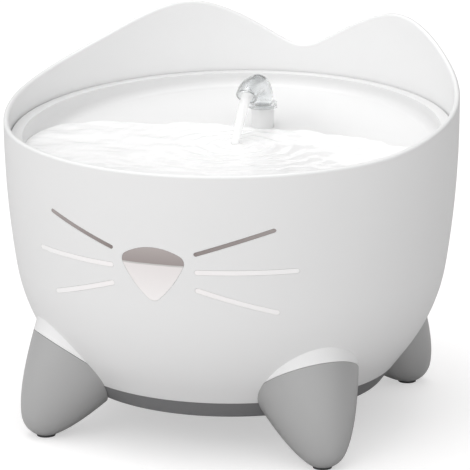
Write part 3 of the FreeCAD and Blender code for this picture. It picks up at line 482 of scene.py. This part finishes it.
def clear_hood():
    """Clear moulded plastic with a faint flow pattern."""
    material, tree, shader = new_material("clear_hood_plastic")
    where = object_vector(tree)
    flow = noise_node(tree, where, 260.0, 2.0)
    bump(tree, flow, shader, 0.0002, 0.35)
    rough = math_node(tree, "MULTIPLY_ADD", flow, 0.03, 0.01)
    tree.links.new(rough, shader.inputs["Roughness"])
    tint = mix_colour(tree, flow, (0.97, 0.985, 0.99), (0.93, 0.95, 0.96))
    tree.links.new(tint, shader.inputs["Base Color"])
    shader.inputs["Transmission Weight"].default_value = 1.0
    shader.inputs["IOR"].default_value = 1.4
    shader.inputs["Alpha"].default_value = 0.75
    return material


def running_water(name, alpha, ripple_scale, ripple_depth):
    """Bright water with small ripples; alpha says how much shows through it."""
    material, tree, shader = new_material(name)
    tint = settings("fountain_water").tint
    where = object_vector(tree)
    waves = noise_node(tree, where, ripple_scale, 3.0, 0.55)
    # Painted shade on the ripples: the colour is a little darker where the ripple pattern is
    # high.
    colour = mix_colour(tree, waves, with_alpha(tint), with_alpha(shaded(tint, 0.97)))
    tree.links.new(colour, shader.inputs["Base Color"])
    rough = math_node(tree, "MULTIPLY_ADD", waves, 0.05, 0.02)
    tree.links.new(rough, shader.inputs["Roughness"])
    bump(tree, waves, shader, ripple_depth, 0.6)
    shader.inputs["IOR"].default_value = 1.33
    shader.inputs["Alpha"].default_value = alpha
    return material


def dress(node, material):
    """Gives a CAD part its material."""
    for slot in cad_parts[node].material_slots:
        slot.material = material


def finish_object(name, shape, body, material):
    """Makes a bmesh an object that rides on a body."""
    mesh = bpy.data.meshes.new(name)
    for face in shape.faces:
        face.smooth = True
    shape.to_mesh(mesh)
    shape.free()
    mesh.materials.append(material)
    made = bpy.data.objects.new(name, mesh)
    bpy.context.scene.collection.objects.link(made)
    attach(made, body)
    return made


def stream_path():
    """The arc of the falling water from inside the hood's mouth to the pool."""
    water = settings("fountain_water")
    mouth = Vector((0.0, HOOD_LOW.y + MOUTH_INSIDE, HOOD_HIGH.z - MOUTH_BELOW_TOP))
    run = mouth.y - water.landing
    fall = mouth.z - water.level + JET_SINK
    slope = math.tan(MOUTH_DIP)
    curve = (fall - slope * run) / (run * run)
    points = []
    for step in range(JET_STEPS + 1):
        away = run * step / JET_STEPS
        points.append(Vector((0.0, mouth.y - away, mouth.z - slope * away - curve * away * away)))
    return points


def falling_water():
    """A round jet that narrows as it falls, bridged ring by ring along its arc."""
    water = settings("fountain_water")
    path = stream_path()
    shape = bmesh.new()
    loops = []
    for index, point in enumerate(path):
        before = path[max(index - 1, 0)]
        after = path[min(index + 1, len(path) - 1)]
        share = index / (len(path) - 1)
        radius = water.stream_radius * (1.0 - JET_NARROWING * math.sqrt(share))
        radius *= 1.0 + JET_SWELL * math.sin(share * JET_SWELL_TURNS)
        turn = Vector((0, 0, 1)).rotation_difference(after - before).to_matrix().to_4x4()
        ring = bmesh.ops.create_circle(
            shape, segments=JET_SEGMENTS, radius=radius, matrix=Matrix.Translation(point) @ turn)
        loops.append({edge for vert in ring["verts"] for edge in vert.link_edges})
    for first, second in zip(loops, loops[1:]):
        bmesh.ops.bridge_loops(shape, edges=list(first | second))
    ends = [edge for edge in shape.edges if edge.is_boundary]
    bmesh.ops.holes_fill(shape, edges=ends, sides=0)
    bmesh.ops.recalc_face_normals(shape, faces=shape.faces)
    return shape


def hollow_floor(x, y):
    """Height of the tray's hollow floor."""
    water = settings("fountain_water")
    away = math.hypot(x, y + water.hollow_front)
    return water.hollow_height + water.hollow_radius - math.sqrt(
        water.hollow_radius ** 2 - away ** 2)


def ripple_height(x, y):
    """Height of the water's surface: rings round the landing point and a slow swell."""
    water = settings("fountain_water")
    away = math.hypot(x, y - water.landing)
    rings = RING_HEIGHT * math.sin(away * RING_RATE) * math.exp(-away * RING_FADE)
    swell = noise.noise(Vector((x * 42.0, y * 80.0, 0.4)))
    chop = noise.noise(Vector((x * 90.0, y * 150.0, 2.1)))
    edge = min(1.0, max(0.0, (water.reach - math.hypot(x, y)) / POOL_CALM_EDGE))
    return water.ripple * edge * (rings + SWELL_HEIGHT * swell + CHOP_HEIGHT * chop)


def pool_shape():
    """The water in the tray, with ripples on top; its underside lies in the tray's floor."""
    water = settings("fountain_water")
    shape = bmesh.new()
    bmesh.ops.create_circle(shape, cap_ends=True, segments=POOL_SEGMENTS, radius=water.reach)
    for turn in (0.0, math.pi / 2):
        normal = Vector((math.cos(turn), math.sin(turn), 0))
        for step in range(-POOL_CELLS_EACH_WAY, POOL_CELLS_EACH_WAY + 1):
            bmesh.ops.bisect_plane(shape, geom=shape.verts[:] + shape.edges[:] + shape.faces[:],
                                   plane_co=normal * (step * POOL_CELL), plane_no=normal)
    dry = [vert for vert in shape.verts
           if hollow_floor(vert.co.x, vert.co.y) - POOL_SINK > water.level]
    bmesh.ops.delete(shape, geom=dry, context="VERTS")
    lower = bmesh.ops.extrude_face_region(shape, geom=shape.faces[:])
    sunk_verts = {item for item in lower["geom"] if isinstance(item, bmesh.types.BMVert)}
    for vert in shape.verts:
        x, y = vert.co.x, vert.co.y
        if vert in sunk_verts:
            vert.co.z = min(hollow_floor(x, y) - POOL_SINK, water.level)
        else:
            vert.co.z = water.level + ripple_height(x, y)
    bmesh.ops.recalc_face_normals(shape, faces=shape.faces)
    return shape


class FOUNTAIN_OT_shell(bpy.types.Operator):
    """Finish the white outer shell"""

    bl_idname = "fountain.shell"
    bl_label = "Finish Shell"

    def execute(self, context):
        dress("outer_shell", white_shell())
        return {"FINISHED"}


class FOUNTAIN_OT_windows(bpy.types.Operator):
    """Finish the nose and whisker windows"""

    bl_idname = "fountain.windows"
    bl_label = "Finish Windows"

    def execute(self, context):
        dress("nose_window", nose_window())
        dark = whisker_window("dark_whisker", (0.24, 0.20, 0.19), (0.40, 0.36, 0.35),
                              (0.44, 0.40, 0.39))
        pale = whisker_window("pale_whisker", (1.0, 0.97, 0.97), (1.0, 1.0, 1.0),
                              (0.97, 0.94, 0.94))
        for side in ("left", "right"):
            dress(side + "_upper_whisker_window", dark)
            dress(side + "_middle_whisker_window", pale)
            dress(side + "_lower_whisker_window", pale)
        return {"FINISHED"}


class FOUNTAIN_OT_base(bpy.types.Operator):
    """Finish the legs, foot pads, base and screws"""

    bl_idname = "fountain.base"
    bl_label = "Finish Legs And Base"

    def execute(self, context):
        leg = grey_leg()
        pad = rubber()
        for row in ("front", "rear"):
            for side in ("left", "right"):
                dress(f"{row}_{side}_leg", leg)
                dress(f"{row}_{side}_foot_pad", pad)
        dress("base_plate", grey_base())
        screws = steel()
        dress("leg_screws", screws)
        dress("base_screws", screws)
        dress("cable_grommet", pad)
        return {"FINISHED"}


class FOUNTAIN_OT_tank(bpy.types.Operator):
    """Finish the water tank"""

    bl_idname = "fountain.tank"
    bl_label = "Finish Tank"

    def execute(self, context):
        dress("water_tank", smoky_tank())
        return {"FINISHED"}


class FOUNTAIN_OT_tray(bpy.types.Operator):
    """Finish the drinking tray and its spout"""

    bl_idname = "fountain.tray"
    bl_label = "Finish Tray And Spout"

    def execute(self, context):
        white = white_tray()
        dress("drinking_tray", white)
        dress("spout_stem", white)
        dress("stem_seal", rubber())
        dress("spout_hood", clear_hood())
        return {"FINISHED"}


class FOUNTAIN_OT_pump(bpy.types.Operator):
    """Finish the pump and its rotor"""

    bl_idname = "fountain.pump"
    bl_label = "Finish Pump"

    def execute(self, context):
        case = black_plastic()
        soft = rubber()
        polished = ceramic()
        dress("pump_case", case)
        dress("pump_cover", cover_plastic())
        dress("outlet_tube", case)
        dress("suction_cups", soft)
        dress("cable_gland", soft)
        dress("rear_bush", soft)
        dress("front_bush", polished)
        dress("impeller_shaft", polished)
        dress("impeller", nylon())
        dress("rotor_magnet", ferrite())
        return {"FINISHED"}


class FOUNTAIN_OT_filter(bpy.types.Operator):
    """Finish the filter cartridge"""

    bl_idname = "fountain.filter"
    bl_label = "Finish Filter"

    def execute(self, context):
        white = filter_plastic()
        dress("filter_frame", white)
        dress("filter_lid", white)
        dress("filter_foam", foam())
        dress("carbon_bed", carbon())
        return {"FINISHED"}


class FOUNTAIN_OT_pool(bpy.types.Operator):
    """Fill the drinking tray with rippled water"""

    bl_idname = "fountain.pool"
    bl_label = "Fill Tray"

    def execute(self, context):
        finish_object("water_pool", pool_shape(), "tray",
                      running_water("pool_water", 0.96, 75.0, 0.0006))
        return {"FINISHED"}


class FOUNTAIN_OT_stream(bpy.types.Operator):
    """Run water from the spout"""

    bl_idname = "fountain.stream"
    bl_label = "Run Water"

    def execute(self, context):
        finish_object("water_stream", falling_water(), "tray",
                      running_water("stream_water", 0.45, 240.0, 0.0006))
        return {"FINISHED"}


def area_light(name, place, aim, size, energy):
    light = bpy.data.lights.new(name, "AREA")
    light.shape = "DISK"
    light.size = size
    light.energy = energy
    made = bpy.data.objects.new(name, light)
    made.location = place
    made.rotation_euler = (Vector(aim) - Vector(place)).to_track_quat("-Z", "Y").to_euler()
    bpy.context.scene.collection.objects.link(made)


def studio_world():
    """Soft light from all round, strongest from the front, above and left."""
    world = bpy.data.worlds.new("studio_world")
    world.use_nodes = True
    tree = world.node_tree
    turn = settings("fountain_studio").azimuth
    where = tree.nodes.new("ShaderNodeTexCoord").outputs["Generated"]
    side = tree.nodes.new("ShaderNodeVectorMath")
    side.operation = "DOT_PRODUCT"
    right = Vector((math.cos(turn), math.sin(turn), 0.0))
    toward = Vector((math.sin(turn), -math.cos(turn), 0.0))
    source = toward * 0.8 - right * 0.45 + Vector((0, 0, 0.55))
    side.inputs[1].default_value = source.normalized()
    tree.links.new(where, side.inputs[0])
    fade = tree.nodes.new("ShaderNodeMapRange")
    fade.interpolation_type = "SMOOTHSTEP"
    fade.inputs["From Min"].default_value = -0.66
    fade.inputs["From Max"].default_value = 1.0
    fade.inputs["To Min"].default_value = 0.06
    fade.inputs["To Max"].default_value = 1.2
    tree.links.new(side.outputs["Value"], fade.inputs["Value"])
    tree.links.new(fade.outputs["Result"], tree.nodes["Background"].inputs["Strength"])
    tree.nodes["Background"].inputs["Color"].default_value = (1, 1, 1, 1)
    return world


def studio_floor():
    """A wide, flat, pale floor; a glow that only the camera sees lifts it to white."""
    shape = bmesh.new()
    bmesh.ops.create_grid(shape, x_segments=1, y_segments=1, size=30.0)
    mesh = bpy.data.meshes.new("studio_floor")
    shape.to_mesh(mesh)
    shape.free()
    material, tree, shader = new_material("studio_floor_paint")
    where = object_vector(tree)
    clouds = noise_node(tree, where, 0.8, 2.0)
    tint = mix_colour(tree, clouds, (0.60, 0.595, 0.595), (0.62, 0.615, 0.615))
    glow = mix_colour(tree, clouds, (0.99, 0.985, 0.985), (1.0, 1.0, 1.0))
    tree.links.new(tint, shader.inputs["Base Color"])
    tree.links.new(glow, shader.inputs["Emission Color"])
    seen = tree.nodes.new("ShaderNodeLightPath").outputs["Is Camera Ray"]
    strength = math_node(tree, "MULTIPLY", seen, 0.5)
    tree.links.new(strength, shader.inputs["Emission Strength"])
    shader.inputs["Roughness"].default_value = 0.8
    shader.inputs["Specular IOR Level"].default_value = 0.1
    mesh.materials.append(material)
    floor = bpy.data.objects.new("studio_floor", mesh)
    bpy.context.scene.collection.objects.link(floor)


def studio_camera():
    studio = settings("fountain_studio")
    azimuth = studio.azimuth
    elevation = studio.elevation
    back = Vector((math.sin(azimuth) * math.cos(elevation),
                   -math.cos(azimuth) * math.cos(elevation), math.sin(elevation)))
    right = Vector((math.cos(azimuth), math.sin(azimuth), 0))
    up = back.cross(right)
    place = right * studio.aim_side + Vector((0, 0, studio.aim_height)) + back * studio.distance
    data = bpy.data.cameras.new("photo_camera")
    data.sensor_width = 36.0
    data.sensor_fit = "HORIZONTAL"
    data.lens = studio.lens
    data.clip_end = 100.0
    camera = bpy.data.objects.new("photo_camera", data)
    camera.matrix_world = Matrix((
        (right.x, up.x, back.x, place.x),
        (right.y, up.y, back.y, place.y),
        (right.z, up.z, back.z, place.z),
        (0, 0, 0, 1)))
    bpy.context.scene.collection.objects.link(camera)
    bpy.context.scene.camera = camera


class FOUNTAIN_OT_studio(bpy.types.Operator):
    """Set the floor, the soft light and the camera"""

    bl_idname = "fountain.studio"
    bl_label = "Set Studio"

    def execute(self, context):
        scene = context.scene
        scene.view_settings.view_transform = "Standard"
        scene.world = studio_world()
        studio_floor()
        studio_camera()
        area_light("key_light", (-0.5, -2.3, 1.5), (0, 0, 0.1), 1.6, 5.0)
        area_light("top_light", (-0.3, 0.2, 2.6), (0, 0, 0.1), 2.2, 22.0)
        return {"FINISHED"}


OPERATORS = (
    FOUNTAIN_OT_studio,
    FOUNTAIN_OT_shell,
    FOUNTAIN_OT_windows,
    FOUNTAIN_OT_base,
    FOUNTAIN_OT_tank,
    FOUNTAIN_OT_tray,
    FOUNTAIN_OT_pump,
    FOUNTAIN_OT_filter,
    FOUNTAIN_OT_pool,
    FOUNTAIN_OT_stream,
)


class FOUNTAIN_PT_parts(bpy.types.Panel):
    """The fountain's settings and steps"""

    bl_idname = "FOUNTAIN_PT_parts"
    bl_label = "Pet Water Fountain"
    bl_space_type = "VIEW_3D"
    bl_region_type = "UI"
    bl_category = "Fountain"

    def draw(self, context):
        layout = self.layout
        for group in SETTINGS:
            box = layout.box()
            values = getattr(context.scene, group)
            for name in values.__annotations__:
                box.prop(values, name)
        for operator in OPERATORS:
            layout.operator(operator.bl_idname)


SETTINGS = {
    "fountain_water": WaterSettings,
    "fountain_finish": FinishSettings,
    "fountain_studio": StudioSettings,
}

CLASSES = (*SETTINGS.values(), *OPERATORS, FOUNTAIN_PT_parts)


def register():
    for cls in CLASSES:
        bpy.utils.register_class(cls)
    for name, group in SETTINGS.items():
        setattr(bpy.types.Scene, name, PointerProperty(type=group))


def unregister():
    for name in SETTINGS:
        delattr(bpy.types.Scene, name)
    for cls in reversed(CLASSES):
        bpy.utils.unregister_class(cls)


def main():
    register()
    for operator in OPERATORS:
        group, name = operator.bl_idname.split(".")
        getattr(getattr(bpy.ops, group), name)()


if __name__ == "__main__":
    main()
